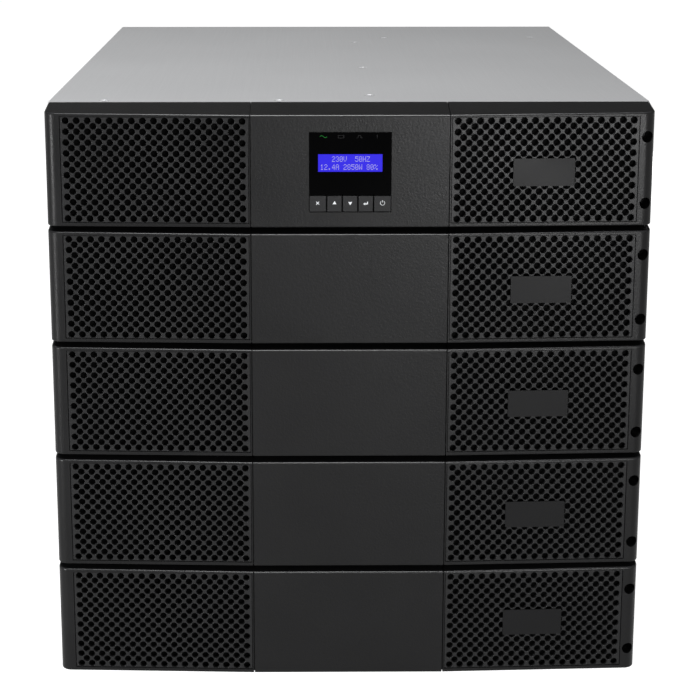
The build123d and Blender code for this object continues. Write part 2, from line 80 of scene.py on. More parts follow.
# How much darker the paint of a case is inside its bezel, a painted shade where the grille holes look in, and
# lighter outside, as a share of its colour
CASE_SHADE_SWING = 0.96
# Added to the colour mask of the moulding on the rounded top front edges, a painted highlight
RUB_HIGHLIGHT_LIFT = 12.0
RUB_ROUGHNESS = 0.22
RUB_IOR = 1.7

# Lamps: name, place, point aimed at, width, height and power in watts
LAMPS = (
    ("top_lamp", (-0.08, -0.7, 1.95), (-1.25, -0.35, 0.4), 1.1, 0.9, 29),
    ("key_lamp", (0.60, -2.3, 0.32), (0.1, -0.3, 0.36), 0.3, 0.3, 16),
    ("side_lamp", (-1.36, -1.42, 0.35), (-0.2, -0.3, 0.2), 0.2, 0.9, 22),
    ("rear_lamp", (0.3, 2.2, 0.2), (0.05, 0.3, 0.2), 1.2, 0.3, 12),
)

# Middles of the countersunk dimples in the top cover, as X and the distance behind the front of the stack
COVER_SCREWS = (
    (0.0162, 0.0695),
    (0.0160, 0.2470),
    (0.0155, 0.4490),
    (0.0446, 0.4900),
    (0.1867, 0.4940),
    (-0.0510, 0.0414),
    (-0.1788, 0.0414),
)
# Dimples of the flanks: places in Y and height above the lower edge of a cover
FLANK_SCREWS = (-0.181, -0.031, 0.119, 0.269)
FLANK_SCREW_RISE = 0.009

# Rows of dots, top row first, for the characters of the readout
GLYPHS = {
    "0": "01110 10001 10011 10101 11001 10001 01110",
    "1": "00100 01100 00100 00100 00100 00100 01110",
    "2": "01110 10001 00001 00110 01000 10000 11111",
    "3": "01110 10001 00001 00110 00001 10001 01110",
    "4": "00010 00110 01010 10010 11111 00010 00010",
    "5": "11111 10000 11110 00001 00001 10001 01110",
    "8": "01110 10001 10001 01110 10001 10001 01110",
    ".": "00000 00000 00000 00000 00000 01100 01100",
    "%": "11000 11001 00010 00100 01000 10011 00011",
    "A": "01110 10001 10001 11111 10001 10001 10001",
    "H": "10001 10001 10001 11111 10001 10001 10001",
    "V": "10001 10001 10001 10001 10001 01010 00100",
    "W": "10001 10001 10001 10101 10101 11011 10001",
    "Z": "11111 00001 00010 00100 01000 10000 11111",
}


def colour(name, text, value):
    """A colour property, linear."""
    return FloatVectorProperty(
        name=name, description=text, subtype="COLOR", size=3, min=0, max=1, default=value
    )


def length(name, text, value):
    """A length property in metres."""
    return FloatProperty(
        name=name, description=text, subtype="DISTANCE", unit="LENGTH", default=value, precision=5
    )


def share(name, text, value):
    """A plain number that isn't negative."""
    return FloatProperty(name=name, description=text, default=value, min=0)


def angle(name, text, degrees):
    """An angle property, given in degrees."""
    return FloatProperty(name=name, description=text, subtype="ANGLE", default=radians(degrees))


def words(name, text, value):
    """A line of text."""
    return StringProperty(name=name, description=text, default=value)


class UPS_PG_finishes(bpy.types.PropertyGroup):
    """Colours of the surfaces."""

    moulding: colour("Moulding", "Black moulded plastic of the bezels", (0.0050, 0.0050, 0.0053))
    insert: colour("Insert", "Plastic of the perforated inserts", (0.0140, 0.0140, 0.0145))
    badge: colour("Badge", "Plain plate on the right-hand inserts", (0.006, 0.006, 0.0064))
    powder_coat: colour("Powder coat", "Black paint of the cases", (0.0070, 0.0070, 0.0073))
    sheet: colour("Sheet", "Bare coated sheet of the covers", (0.62, 0.625, 0.636))
    key_cap: colour("Key cap", "Plastic of the keys", (0.0060, 0.0060, 0.0068))
    symbol: colour("Symbol", "Printed symbols on the keys", (0.66, 0.68, 0.70))
    readout: colour("Readout", "Lit background of the readout", (0.030, 0.018, 0.80))
    dots: colour("Dots", "Characters of the readout", (0.55, 0.51, 0.76))
    ready: colour("Ready light", "Lit status symbol", (0.008, 0.17, 0.020))
    dim: colour("Dim lights", "Unlit status symbols", (0.006, 0.006, 0.0065))


class UPS_PG_fittings(bpy.types.PropertyGroup):
    """Sizes of the small fittings."""

    cover_screw: length("Cover screw", "Radius of a cover screw's head", 0.0026)
    panel_screw: length("Panel screw", "Radius of a rear panel screw's head", 0.0029)
    head_height: length("Head height", "Height of a screw's head", 0.0011)
    symbol_height: length("Symbol height", "Height of a key's symbol", 0.0026)
    print_depth: length("Print depth", "Thickness of printed symbols", 0.00004)
    line_one: words("Line one", "First line of the readout", "   230V  50HZ")
    line_two: words("Line two", "Second line of the readout", "12.4A 2850W 80%")
    columns: IntProperty(name="Columns", description="Characters on a line of the readout", default=16, min=1)


class UPS_PG_stage(bpy.types.PropertyGroup):
    """Camera and light."""

    distance: length("Distance", "Camera to the front of the stack", 1.3)
    height: length("Height", "Camera above the floor", 0.6144)
    aside: length("Aside", "Camera to the right of the middle", -0.0327)
    pitch: angle("Pitch", "Camera below the horizon", 12.86)
    yaw: angle("Yaw", "Camera turned to the left", -0.47)
    focal: FloatProperty(
        name="Focal length", description="In pixels of the picture", subtype="PIXEL", default=1843
    )
    shift_x: FloatProperty(name="Shift across", description="Share of the picture's width", default=0.0438)
    shift_y: FloatProperty(name="Shift up", description="Share of the picture's width", default=-0.12)
    surround: share("Surround", "Strength of the even light", 0.3)
    ceiling: share("Ceiling", "Brightness of the ceiling in reflections", 0.10)
    lift: share("Lift", "Whiteness added to the floor in the picture", 0.88)


def input_of(group, name, kind, value):
    """Adds an input socket with its default to a node group."""
    group.interface.new_socket(name=name, in_out="INPUT", socket_type=kind).default_value = value


def node(tree, kind, **settings):
    """Adds a node and sets its properties."""
    made = tree.nodes.new(kind)
    for name, value in settings.items():
        setattr(made, name, value)
    return made


def math_node(tree, operation, first, second):
    """Adds a math node fed by sockets or numbers and returns its output."""
    made = node(tree, "ShaderNodeMath", operation=operation)
    for index, value in enumerate((first, second)):
        if isinstance(value, (int, float)):
            made.inputs[index].default_value = value
        else:
            tree.links.new(value, made.inputs[index])
    return made.outputs[0]


def grain_group():
    """Fine moulded or sprayed grain: a height and a slowly varying mask."""
    group = bpy.data.node_groups.new("surface_grain", "ShaderNodeTree")
    input_of(group, "Grain size", "NodeSocketFloat", 0.0006)
    input_of(group, "Patch size", "NodeSocketFloat", 0.05)
    group.interface.new_socket(name="Height", in_out="OUTPUT", socket_type="NodeSocketFloat")
    group.interface.new_socket(name="Patch", in_out="OUTPUT", socket_type="NodeSocketFloat")
    start = node(group, "NodeGroupInput")
    end = node(group, "NodeGroupOutput")
    place = node(group, "ShaderNodeTexCoord")
    fine = node(group, "ShaderNodeTexNoise")
    fine.inputs["Detail"].default_value = 3
    fine.inputs["Roughness"].default_value = 0.62
    patch = node(group, "ShaderNodeTexNoise")
    patch.inputs["Detail"].default_value = 2
    for texture, size in ((fine, "Grain size"), (patch, "Patch size")):
        group.links.new(place.outputs["Object"], texture.inputs["Vector"])
        group.links.new(math_node(group, "DIVIDE", 1.0, start.outputs[size]), texture.inputs["Scale"])
    group.links.new(fine.outputs["Fac"], end.inputs["Height"])
    group.links.new(patch.outputs["Fac"], end.inputs["Patch"])
    return group


def tone_group():
    """A colour made a little lighter and darker by a mask."""
    group = bpy.data.node_groups.new("surface_tone", "ShaderNodeTree")
    input_of(group, "Colour", "NodeSocketColor", (0.5, 0.5, 0.5, 1))
    input_of(group, "Mask", "NodeSocketFloat", 0.5)
    input_of(group, "Amount", "NodeSocketFloat", 0.1)
    group.interface.new_socket(name="Colour", in_out="OUTPUT", socket_type="NodeSocketColor")
    start = node(group, "NodeGroupInput")
    end = node(group, "NodeGroupOutput")
    swing = math_node(group, "SUBTRACT", start.outputs["Mask"], 0.5)
    scaled = math_node(group, "MULTIPLY", swing, start.outputs["Amount"])
    factor = math_node(group, "ADD", math_node(group, "MULTIPLY", scaled, 2.0), 1.0)
    grow = node(group, "ShaderNodeVectorMath", operation="SCALE")
    group.links.new(start.outputs["Colour"], grow.inputs[0])
    group.links.new(factor, grow.inputs["Scale"])
    group.links.new(grow.outputs["Vector"], end.inputs["Colour"])
    return group


def rolled_group():
    """Long faint streaks of rolled sheet along Y and soft cloudy patches."""
    group = bpy.data.node_groups.new("rolled_sheet", "ShaderNodeTree")
    input_of(group, "Streak width", "NodeSocketFloat", 0.002)
    input_of(group, "Cloud size", "NodeSocketFloat", 0.12)
    group.interface.new_socket(name="Streak", in_out="OUTPUT", socket_type="NodeSocketFloat")
    group.interface.new_socket(name="Cloud", in_out="OUTPUT", socket_type="NodeSocketFloat")
    start = node(group, "NodeGroupInput")
    end = node(group, "NodeGroupOutput")
    place = node(group, "ShaderNodeTexCoord")
    stretch = node(group, "ShaderNodeMapping")
    stretch.inputs["Scale"].default_value = (1, 0.015, 1)
    group.links.new(place.outputs["Object"], stretch.inputs["Vector"])
    streak = node(group, "ShaderNodeTexNoise")
    streak.inputs["Detail"].default_value = 4
    cloud = node(group, "ShaderNodeTexNoise")
    cloud.inputs["Detail"].default_value = 1
    group.links.new(stretch.outputs["Vector"], streak.inputs["Vector"])
    group.links.new(place.outputs["Object"], cloud.inputs["Vector"])
    group.links.new(math_node(group, "DIVIDE", 1.0, start.outputs["Streak width"]), streak.inputs["Scale"])
    group.links.new(math_node(group, "DIVIDE", 1.0, start.outputs["Cloud size"]), cloud.inputs["Scale"])
    group.links.new(streak.outputs["Fac"], end.inputs["Streak"])
    group.links.new(cloud.outputs["Fac"], end.inputs["Cloud"])
    return group


def edge_highlight_group():
    """Marks the rounded edges between a front and the slope above it, which get a glossy coat and a painted
    highlight.
    """
    group = bpy.data.node_groups.new("rubbed_edges_and_highlight", "ShaderNodeTree")
    input_of(group, "Start", "NodeSocketFloat", 0.22)
    group.interface.new_socket(name="Mask", in_out="OUTPUT", socket_type="NodeSocketFloat")
    start = node(group, "NodeGroupInput")
    end = node(group, "NodeGroupOutput")
    place = node(group, "ShaderNodeTexCoord")
    split = node(group, "ShaderNodeSeparateXYZ")
    group.links.new(place.outputs["Normal"], split.inputs["Vector"])
    forward = math_node(group, "MULTIPLY", split.outputs["Y"], -1.0)
    corner = math_node(group, "MULTIPLY", forward, split.outputs["Z"])
    spread = node(group, "ShaderNodeMapRange")
    spread.inputs["From Max"].default_value = 0.40
    group.links.new(corner, spread.inputs["Value"])
    group.links.new(start.outputs["Start"], spread.inputs["From Min"])
    group.links.new(spread.outputs["Result"], end.inputs["Mask"])
    return group


def bezel_shade_group():
    """One behind a plane across Y and nothing in front of it, where a case stands inside its bezel: the mask
    for the painted shade there.
    """
    group = bpy.data.node_groups.new("painted_bezel_shade", "ShaderNodeTree")
    input_of(group, "Plane", "NodeSocketFloat", 0.0)
    group.interface.new_socket(name="Mask", in_out="OUTPUT", socket_type="NodeSocketFloat")
    start = node(group, "NodeGroupInput")
    end = node(group, "NodeGroupOutput")
    place = node(group, "ShaderNodeTexCoord")
    split = node(group, "ShaderNodeSeparateXYZ")
    group.links.new(place.outputs["Object"], split.inputs["Vector"])
    behind = math_node(group, "GREATER_THAN", split.outputs["Y"], start.outputs["Plane"])
    group.links.new(behind, end.inputs["Mask"])
    return group


def group_node(tree, name, maker, **values):
    """Places a shared node group, building it the first time."""
    shared = bpy.data.node_groups.get(name) or maker()
    made = node(tree, "ShaderNodeGroup", node_tree=shared)
    for socket, value in values.items():
        made.inputs[socket.replace("_", " ").capitalize()].default_value = value
    return made


def new_material(name, roughness, metallic=0.0):
    """A material with one Principled shader; returns the material, its tree and the shader."""
    material = bpy.data.materials.new(name)
    material.use_nodes = True
    tree = material.node_tree
    shader = tree.nodes["Principled BSDF"]
    shader.inputs["Roughness"].default_value = roughness
    shader.inputs["Metallic"].default_value = metallic
    return material, tree, shader


def varied(tree, shader, base, mask, amount):
    """Feeds Base Color with a colour that a mask makes lighter and darker."""
    tone = group_node(tree, "surface_tone", tone_group, colour=(*base, 1), amount=amount)
    tree.links.new(mask, tone.inputs["Mask"])
    tree.links.new(tone.outputs["Colour"], shader.inputs["Base Color"])


def bumped(tree, shader, height, strength, distance, edge=0.0):
    """Feeds Normal with a bump of a height, over edges softened to a radius."""
    bump = node(tree, "ShaderNodeBump")
    if edge:
        soft = node(tree, "ShaderNodeBevel", samples=6)
        soft.inputs["Radius"].default_value = edge
        tree.links.new(soft.outputs["Normal"], bump.inputs["Normal"])
    bump.inputs["Strength"].default_value = strength
    bump.inputs["Distance"].default_value = distance
    tree.links.new(height, bump.inputs["Height"])
    tree.links.new(bump.outputs["Normal"], shader.inputs["Normal"])


def roughened(tree, shader, mask, low, high):
    """Feeds Roughness from a mask spread between two values."""
    spread = node(tree, "ShaderNodeMapRange")
    spread.inputs["From Min"].default_value = 0.3
    spread.inputs["From Max"].default_value = 0.7
    spread.inputs["To Min"].default_value = low
    spread.inputs["To Max"].default_value = high
    tree.links.new(mask, spread.inputs["Value"])
    tree.links.new(spread.outputs["Result"], shader.inputs["Roughness"])


def plastic(
    name, base, rough, grain=0.0011, depth=0.00008, strength=0.8, amount=0.10, gloss=0.5, edge=0.0, rub=0.0
):
    """Moulded plastic with grain, slow patches in colour and roughness, and on the rounded top front edges a
    glossy coat and a painted highlight.
    """
    material, tree, shader = new_material(name, rough)
    shader.inputs["Specular IOR Level"].default_value = gloss
    surface = group_node(tree, "surface_grain", grain_group, grain_size=grain, patch_size=0.06)
    patch = surface.outputs["Patch"]
    roughened(tree, shader, patch, rough - 0.04, rough + 0.04)
    if rub:
        edges = group_node(tree, "rubbed_edges_and_highlight", edge_highlight_group)
        # Painted highlight: the colour of the top front edges is lifted several times
        lighter = math_node(tree, "MULTIPLY", edges.outputs["Mask"], RUB_HIGHLIGHT_LIFT)
        patch = math_node(tree, "ADD", patch, lighter)
        worn = math_node(tree, "MULTIPLY", edges.outputs["Mask"], rub)
        tree.links.new(worn, shader.inputs["Coat Weight"])
        shader.inputs["Coat Roughness"].default_value = RUB_ROUGHNESS
        shader.inputs["Coat IOR"].default_value = RUB_IOR
    varied(tree, shader, base, patch, amount)
    bumped(tree, shader, surface.outputs["Height"], strength, depth, edge)
    return material


def coated_sheet(name, base, rough, metallic=1.0):
    """Bare coated steel sheet: faint streaks along the rolling direction and soft clouds."""
    material, tree, shader = new_material(name, rough, metallic=metallic)
    sheet = group_node(tree, "rolled_sheet", rolled_group, streak_width=0.0016, cloud_size=0.14)
    varied(tree, shader, base, sheet.outputs["Cloud"], 0.05)
    roughened(tree, shader, sheet.outputs["Streak"], rough - 0.03, rough + 0.05)
    bumped(tree, shader, sheet.outputs["Streak"], 0.08, 0.00004)
    return material


def lit(name, base, strength=1.0, rough=0.25):
    """A lit surface behind a smooth window."""
    material, tree, shader = new_material(name, rough)
    shader.inputs["Base Color"].default_value = (0.004, 0.004, 0.006, 1)
    shader.inputs["Emission Color"].default_value = (*base, 1)
    shader.inputs["Emission Strength"].default_value = strength
    shader.inputs["Specular IOR Level"].default_value = 0.1
    return material


def wear(material, *names):
    """Gives CAD nodes one material."""
    for name in names:
        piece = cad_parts[name]
        piece.data.materials.clear()
        piece.data.materials.append(material)


def of_modules(part):
    """Names of one part on every module."""
    return [f"{module}_{part}" for module in MODULES]


def finish_piece(name, bm, material, body, smooth=False):
    """Makes an object at the origin from a bmesh and hangs it on a body."""
    mesh = bpy.data.meshes.new(name)
    for face in bm.faces:
        face.smooth = smooth
    bm.to_mesh(mesh)
    bm.free()
    mesh.materials.append(material)
    piece = bpy.data.objects.new(name, mesh)
    bpy.context.scene.collection.objects.link(piece)
    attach(piece, body)
    return piece


def add_block(bm, low, high):
    """Adds a closed block between two corners."""
    low = Vector(low)
    high = Vector(high)
    place = Matrix.Translation((low + high) / 2) @ Matrix.Diagonal((*(high - low), 1))
    return bmesh.ops.create_cube(bm, size=1, matrix=place)["verts"]


def add_screw(bm, place, radius, height):
    """Adds a domed screw head with a cross recess; its local +Z points away from the surface."""
    cells = 5
    arm = 0.13
    grid = bmesh.ops.create_grid(bm, x_segments=cells, y_segments=cells, size=1)
    verts = grid["verts"]
    steps = (-1, -0.55, -arm, arm, 0.55, 1)
    for vert in verts:
        column = round((vert.co.x + 1) / 2 * cells)
        row = round((vert.co.y + 1) / 2 * cells)
        vert.co.x = steps[column]
        vert.co.y = steps[row]
        on_rim = column in (0, cells) or row in (0, cells)
        reach = vert.co.length
        if on_rim:
            vert.co *= 1 / reach
    faces = list({face for vert in verts for face in vert.link_faces})
    cross = []
    for face in faces:
        centre = face.calc_center_median()
        inside = min(abs(centre.x), abs(centre.y)) < arm and max(abs(centre.x), abs(centre.y)) < 0.6
        if inside:
            cross.append(face)
    for vert in verts:
        flat = min(1.0, vert.co.xy.length)
        vert.co.z = height / radius * (1 - 0.45 * flat * flat)
    recess = bmesh.ops.extrude_face_region(bm, geom=cross)
    sunk = [item for item in recess["geom"] if isinstance(item, bmesh.types.BMVert)]
    bmesh.ops.translate(bm, verts=sunk, vec=(0, 0, -0.7 * height / radius))
    bmesh.ops.delete(bm, geom=cross, context="FACES_ONLY")
    body = list({face for vert in verts + sunk for face in vert.link_faces})
    rim = [edge for edge in {e for face in body for e in face.edges} if edge.is_boundary]
    skirt = bmesh.ops.extrude_edge_only(bm, edges=rim)
    lower = [item for item in skirt["geom"] if isinstance(item, bmesh.types.BMVert)]
    for vert in lower:
        vert.co.z = 0
    base = [item for item in skirt["geom"] if isinstance(item, bmesh.types.BMEdge) and item.is_boundary]
    bmesh.ops.edgeloop_fill(bm, edges=base)
    everything = list({vert for vert in verts + sunk + lower})
    scale = Matrix.Diagonal((radius, radius, radius, 1))
    bmesh.ops.transform(bm, matrix=place @ scale, verts=everything)


class Piece:
    """Shared ends of the operators."""

    bl_options = {"REGISTER", "UNDO"}

    @property
    def finishes(self):
        return bpy.context.scene.ups_finishes

    @property
    def fittings(self):
        return bpy.context.scene.ups_fittings


class UPS_OT_finish_cases(Piece, bpy.types.Operator):
    """Powder coat on the cases and the rear panel, with painted shade on the cases inside their bezels"""

    bl_idname = "ups.finish_cases"
    bl_label = "Finish cases"

    def execute(self, context):
        coat, tree, shader = new_material("powder_coat", 0.62)
        shader.inputs["Specular IOR Level"].default_value = 0.06
        surface = group_node(tree, "surface_grain", grain_group, grain_size=0.0011, patch_size=0.06)
        inside_shade = group_node(tree, "painted_bezel_shade", bezel_shade_group, plane=COVER_LOW.y - 0.0002)
        # Painted shade: inside the bezel the case paint drops to a twenty-fifth of its colour, darkening what
        # the grille holes show
        varied(tree, shader, self.finishes.powder_coat, inside_shade.outputs["Mask"], CASE_SHADE_SWING)
        roughened(tree, shader, surface.outputs["Patch"], 0.58, 0.66)
        bumped(tree, shader, surface.outputs["Height"], 0.8, 0.00012)
        wear(coat, *of_modules("case"), "power_rear_panel")
        return {"FINISHED"}


class UPS_OT_finish_covers(Piece, bpy.types.Operator):
    """Bare coated sheet on the covers and the slot plate"""

    bl_idname = "ups.finish_covers"
    bl_label = "Finish covers"

    def execute(self, context):
        wear(coated_sheet("coated_sheet", self.finishes.sheet, 0.46, 0.5), *of_modules("cover"), "slot_cover")
        return {"FINISHED"}


class UPS_OT_finish_bezels(Piece, bpy.types.Operator):
    """Moulded grain on the bezel pieces, with a glossy coat and a painted highlight on their top front edges
    """

    bl_idname = "ups.finish_bezels"
    bl_label = "Finish bezels"

    def execute(self, context):
        moulding = plastic(
            "bezel_moulding", self.finishes.moulding, 0.33, grain=0.0015, depth=0.00016, gloss=0.21, rub=0.42
        )
        wear(moulding, *of_modules("bezel_ends"), *of_modules("bezel_centre"))
        return {"FINISHED"}


class UPS_OT_finish_grilles(Piece, bpy.types.Operator):
    """Plastic of the perforated inserts"""

    bl_idname = "ups.finish_grilles"
    bl_label = "Finish inserts"

    def execute(self, context):
        moulding = plastic("insert_moulding", self.finishes.insert, 0.34, gloss=0.2, edge=0.0006)
        wear(moulding, *of_modules("grilles"))
        return {"FINISHED"}


class UPS_OT_finish_badges(Piece, bpy.types.Operator):
    """Satin plain plates on the right-hand inserts"""

    bl_idname = "ups.finish_badges"
    bl_label = "Finish badges"

    def execute(self, context):
        plate = plastic(
            "badge_plate", self.finishes.badge, 0.4, grain=0.0003, depth=0.00002, amount=0.04, gloss=0.14
        )
        wear(plate, "badges")
        return {"FINISHED"}


class UPS_OT_finish_display(Piece, bpy.types.Operator):
    """Black window, its housing and the lit panel of the readout"""

    bl_idname = "ups.finish_display"
    bl_label = "Finish display"

    def execute(self, context):
        window = plastic("window", (0.0003, 0.0003, 0.0004), 0.12, depth=0.000004, strength=0.1, gloss=0.03)
        wear(window, "display_glass")
        wear(plastic("display_housing", (0.004, 0.004, 0.0045), 0.6), "display_housing")
        wear(lit("readout_panel", self.finishes.readout), "display_lcd")
        return {"FINISHED"}


class UPS_OT_build_readout(Piece, bpy.types.Operator):
    """Characters of the readout as small raised dots"""

    bl_idname = "ups.build_readout"
    bl_label = "Build readout"

    def execute(self, context):
        fittings = self.fittings
        margin = 0.0009
        pitch = (LCD_HIGH.x - LCD_LOW.x - 2 * margin) / fittings.columns
        height = LCD_HIGH.z - LCD_LOW.z
        dot_x = pitch / 6
        dot_z = height * 0.32 / 7
        front = LCD_LOW.y
        bm = bmesh.new()
        for line, text in enumerate((fittings.line_one, fittings.line_two)):
            top = LCD_HIGH.z - (0.12 + 0.46 * line) * height
            for place, letter in enumerate(text):
                if letter == " ":
                    continue
                left = LCD_LOW.x + 1.8 * margin + place * pitch
                rows = GLYPHS[letter].split()
                self.add_letter(bm, rows, left, top, dot_x, dot_z, front, fittings.print_depth)
        dots = lit("readout_dots", self.finishes.dots)
        finish_piece("readout_characters", bm, dots, "root")
        return {"FINISHED"}

    def add_letter(self, bm, rows, left, top, dot_x, dot_z, front, depth):
        """Adds the dots of one character."""
        share = 0.74
        for row, dots in enumerate(rows):
            for column, dot in enumerate(dots):
                if dot == "0":
                    continue
                x = left + column * dot_x
                z = top - row * dot_z
                add_block(bm, (x, front - depth, z - dot_z * share), (x + dot_x * share, front, z))


class UPS_OT_build_indicators(Piece, bpy.types.Operator):
    """Status symbols in the window above the readout"""

    bl_idname = "ups.build_indicators"
    bl_label = "Build indicators"

    def execute(self, context):
        middle = (GLASS_LOW.x + GLASS_HIGH.x) / 2
        level = GLASS_HIGH.z - 0.0031
        front = GLASS_LOW.y
        depth = self.fittings.print_depth
        ready = lit("ready_light", self.finishes.ready)
        dim = plastic("dim_lights", self.finishes.dim, 0.3, depth=0.000004, strength=0.1, gloss=0.1)
        wave = bmesh.new()
        self.add_wave(wave, middle - 0.0192, level, front, depth)
        finish_piece("ready_symbol", wave, ready, "root")
        shapes = bmesh.new()
        self.add_cell(shapes, middle - 0.0068, level, front, depth)
        self.add_bypass(shapes, middle + 0.0065, level, front, depth)
        self.add_alarm(shapes, middle + 0.0192, level, front, depth)
        finish_piece("dim_symbols", shapes, dim, "root")
        return {"FINISHED"}

    def add_wave(self, bm, x, z, front, depth):
        """Adds one period of a wave as a ribbon."""
        steps = 24
        width = 0.0052
        swing = 0.0007
        thick = 0.0004
        low = (x - width / 2, front - depth, z - thick / 2)
        add_block(bm, low, (x + width / 2, front, z + thick / 2))
        along = [edge for edge in bm.edges if abs(edge.verts[0].co.x - edge.verts[1].co.x) > width / 2]
        bmesh.ops.subdivide_edges(bm, edges=along, cuts=steps - 1, use_grid_fill=True)
        for vert in bm.verts:
            vert.co.z -= swing * sin((vert.co.x - x) / width * 2 * pi)

    def add_cell(self, bm, x, z, front, depth):
        """Adds the outline of a battery."""
        wide = 0.0021
        tall = 0.0011
        line = 0.00035
        for low_z, high_z in ((-tall, -tall + line), (tall - line, tall)):
            add_block(bm, (x - wide, front - depth, z + low_z), (x + wide, front, z + high_z))
        for low_x, high_x in ((-wide, -wide + line), (wide - line, wide), (wide, wide + line)):
            reach = tall - line if high_x <= wide else tall / 2
            add_block(bm, (x + low_x, front - depth, z - reach), (x + high_x, front, z + reach))

    def add_bypass(self, bm, x, z, front, depth):
        """Adds a step line for the bypass path."""
        line = 0.0002
        reach = 0.0022
        rise = 0.0009
        add_block(bm, (x - reach, front - depth, z - rise - line), (x - rise, front, z - rise + line))
        add_block(bm, (x - rise, front - depth, z + rise - line), (x + rise, front, z + rise + line))
        add_block(bm, (x + rise, front - depth, z - rise - line), (x + reach, front, z - rise + line))
        for side in (-1, 1):
            edge = x + side * rise
            low = (edge - line, front - depth, z - rise + line)
            add_block(bm, low, (edge + line, front, z + rise - line))

    def add_alarm(self, bm, x, z, front, depth):
        """Adds a stroke over a dot."""
        half = 0.00028
        add_block(bm, (x - half, front - depth, z - 0.0003), (x + half, front, z + 0.0012))
        add_block(bm, (x - half, front - depth, z - 0.0012), (x + half, front, z - 0.0007))


class UPS_OT_finish_keys(Piece, bpy.types.Operator):
    """Key caps with their printed symbols, which ride on the keys"""

    bl_idname = "ups.finish_keys"
    bl_label = "Finish keys"

    def execute(self, context):
        wear(plastic("key_plastic", self.finishes.key_cap, 0.46, amount=0.05, gloss=0.25), *KEYS)
        white = plastic("symbol_print", self.finishes.symbol, 0.5, depth=0.000004, strength=0.1, amount=0.02)
        half = self.fittings.symbol_height / 2
        depth = self.fittings.print_depth
        makers = (self.add_cross, self.add_up, self.add_down, self.add_return, self.add_power)
        for key, maker in zip(KEYS, makers):
            low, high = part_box(key)
            centre = Vector(((low.x + high.x) / 2, low.y, (low.z + high.z) / 2 + 0.0006))
            bm = bmesh.new()
            maker(bm, half, depth)
            bmesh.ops.translate(bm, verts=bm.verts, vec=centre)
            finish_piece(f"{key}_symbol", bm, white, key)
        return {"FINISHED"}

    def add_plate(self, bm, sides, radius, depth):
        """Adds a flat prism with a number of sides, facing the front."""
        place = Matrix.Translation((0, -depth / 2, 0)) @ Matrix.Rotation(pi / 2, 4, "X")
        return bmesh.ops.create_cone(
            bm, cap_ends=True, segments=sides, radius1=radius, radius2=radius, depth=depth, matrix=place
        )["verts"]

    def add_cross(self, bm, half, depth):
        """Adds a cross of one long stroke and two short ones that end at its sides."""
        line = half * 0.2
        reach = half * 1.15
        add_block(bm, (-reach, -depth, -line), (reach, 0, line))
        for low, high in ((-reach, -line), (line, reach)):
            add_block(bm, (-line, -depth, low), (line, 0, high))
        bmesh.ops.rotate(bm, verts=bm.verts, cent=(0, 0, 0), matrix=Matrix.Rotation(pi / 4, 3, "Y"))

    def add_up(self, bm, half, depth):
        """Adds a triangle pointing up."""
        self.add_plate(bm, 3, half * 1.26, depth)
        self.point(bm, 1)

    def add_down(self, bm, half, depth):
        """Adds a triangle pointing down."""
        self.add_plate(bm, 3, half * 1.26, depth)
        self.point(bm, -1)

    def point(self, bm, way):
        """Turns a triangle so that one corner points up or down."""
        corners = sorted(bm.verts, key=lambda vert: vert.co.z)
        single_high = abs(corners[-1].co.z - corners[-3].co.z) > 1e-6
        if single_high != (way > 0):
            bmesh.ops.rotate(bm, verts=bm.verts, cent=(0, 0, 0), matrix=Matrix.Rotation(pi, 3, "Y"))

    def add_return(self, bm, half, depth):
        """Adds a bent arrow pointing left."""
        line = half * 0.26
        add_block(bm, (-half * 0.5, -depth, -half * 0.45 - line), (half * 1.15, 0, -half * 0.45 + line))
        add_block(bm, (half * 1.15 - 2 * line, -depth, -half * 0.45 + line), (half * 1.15, 0, half * 0.75))
        tip = self.add_plate(bm, 3, half * 0.85, depth)
        low = min(vert.co.z for vert in tip)
        high = max(vert.co.z for vert in tip)
        lone = [vert for vert in tip if abs(vert.co.z - high) < 1e-7]
        turn = pi / 2 if len(lone) == 2 else -pi / 2
        bmesh.ops.rotate(bm, verts=tip, cent=(0, 0, (low + high) / 2), matrix=Matrix.Rotation(-turn, 3, "Y"))
        left = sum(vert.co.x for vert in tip) / len(tip)
        level = sum(vert.co.z for vert in tip) / len(tip)
        bmesh.ops.translate(bm, verts=tip, vec=(-half * 0.65 - left, 0, -half * 0.45 - level))

    def add_power(self, bm, half, depth):
        """Adds an open ring with a stroke in its gap."""
        line = half * 0.26
        outer = half * 1.34
        start = 0.20
        section = add_block(bm, (outer - line, -depth, -line / 50), (outer, 0, line / 50))
        faces = list({face for vert in section for face in vert.link_faces})
        first = [face for face in faces if face.calc_center_median().z > 0 and abs(face.normal.z) > 0.9]
        others = [face for face in faces if face not in first]
        bmesh.ops.delete(bm, geom=others, context="FACES")
        lean = Matrix.Rotation(-(pi / 2 - start * pi), 3, "Y")
        bmesh.ops.rotate(bm, verts=bm.verts, cent=(0, 0, 0), matrix=lean)
        bmesh.ops.spin(
            bm, geom=bm.faces[:] + bm.edges[:] + bm.verts[:], cent=(0, 0, 0), axis=(0, 1, 0),
            angle=2 * pi * (1 - start), steps=28, use_duplicate=False,
        )
        loose = [edge for edge in bm.edges if edge.is_boundary]
        if loose:
            bmesh.ops.holes_fill(bm, edges=loose)
        bmesh.ops.recalc_face_normals(bm, faces=bm.faces)
        add_block(bm, (-line / 2, -depth, half * 0.35), (line / 2, 0, half * 1.6))


